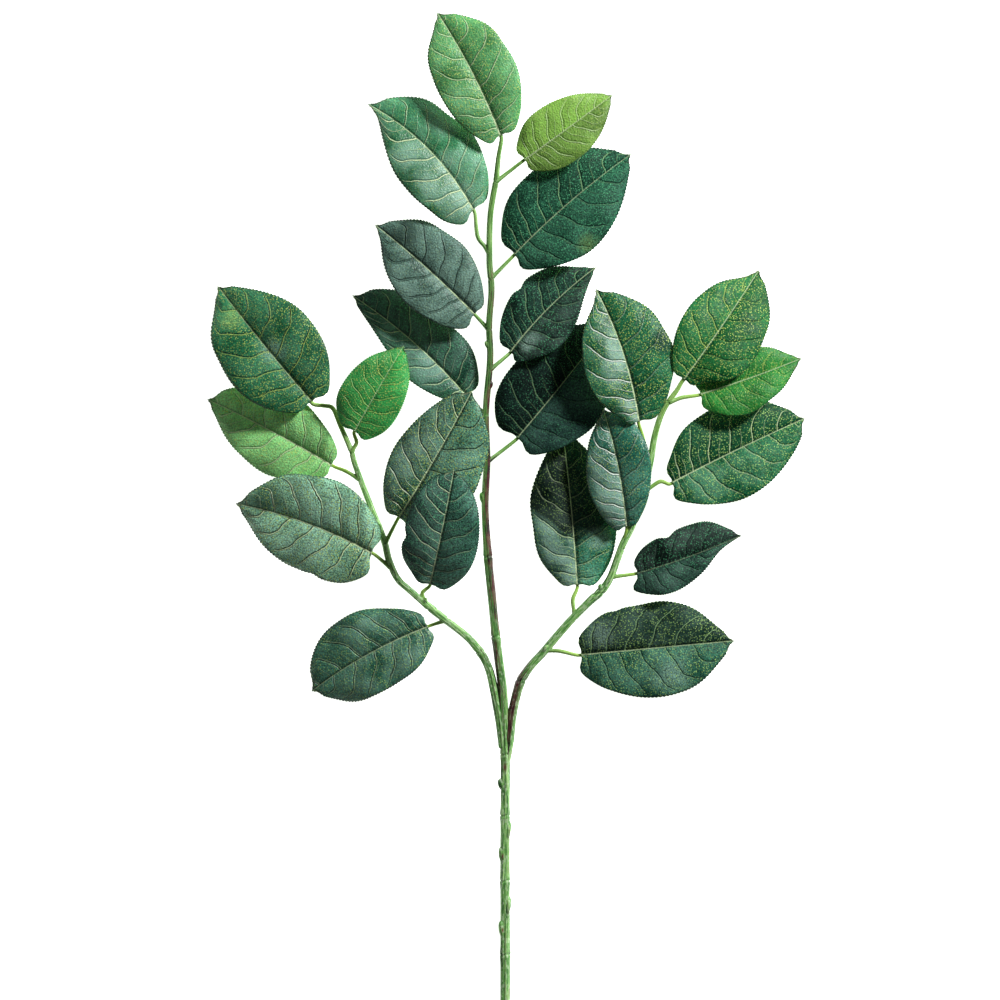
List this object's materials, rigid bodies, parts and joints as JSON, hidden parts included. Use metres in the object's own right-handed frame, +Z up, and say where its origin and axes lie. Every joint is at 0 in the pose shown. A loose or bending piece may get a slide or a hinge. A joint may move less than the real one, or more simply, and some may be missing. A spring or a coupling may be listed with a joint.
{
  "type": "lemon leaf branch",
  "caption": "Cut foliage branch: a slender main stem with two side stems, all bearing broad oval pointed leaves on short stalks, lying flat for use as florist's greenery.",
  "frame": {"origin": "middle of the branch's bounding box seen from above, at the height of the lowest point, which is the surface that it lies on", "axes": "+Y runs along the main stem from the cut end to the end leaf, +Z points up out of the upper faces of the leaves, and +X is to the right seen from above with the end leaf pointing away"},
  "size_m": [0.42, 0.6932, 0.0535],
  "materials": {
    "stem": "green to red-brown bark, satin",
    "leaf_light": "fresh green upper face, satin",
    "leaf_mid": "mid green upper face, satin",
    "leaf_young": "yellow-green young leaf, satin",
    "leaf_dark": "dark green upper face, satin",
    "leaf_deep": "deep green leaf in the shade of others, satin",
    "leaf_grey": "grey-green leaf with a soft sheen, satin",
    "leaf_mottled": "green leaf with a silvery sheen on one half, satin"
  },
  "bodies": {
    "root": {"main_stem": "stem", "left_branch": "stem", "right_branch": "stem", "leaf_centre_1": "leaf_light", "leaf_centre_2": "leaf_mid", "leaf_centre_3": "leaf_young", "leaf_centre_4": "leaf_deep", "leaf_centre_5": "leaf_dark", "leaf_centre_6": "leaf_dark", "leaf_centre_7": "leaf_deep", "leaf_centre_8": "leaf_deep", "leaf_left_1": "leaf_dark", "leaf_left_2": "leaf_mid", "leaf_left_3": "leaf_young", "leaf_left_4": "leaf_grey", "leaf_left_5": "leaf_grey", "leaf_left_6": "leaf_deep", "leaf_left_7": "leaf_deep", "leaf_right_1": "leaf_mottled", "leaf_right_2": "leaf_light", "leaf_right_3": "leaf_young", "leaf_right_4": "leaf_dark", "leaf_right_5": "leaf_dark", "leaf_right_6": "leaf_deep", "leaf_right_7": "leaf_deep", "leaf_right_8": "leaf_dark"}
  },
  "joints": []
}
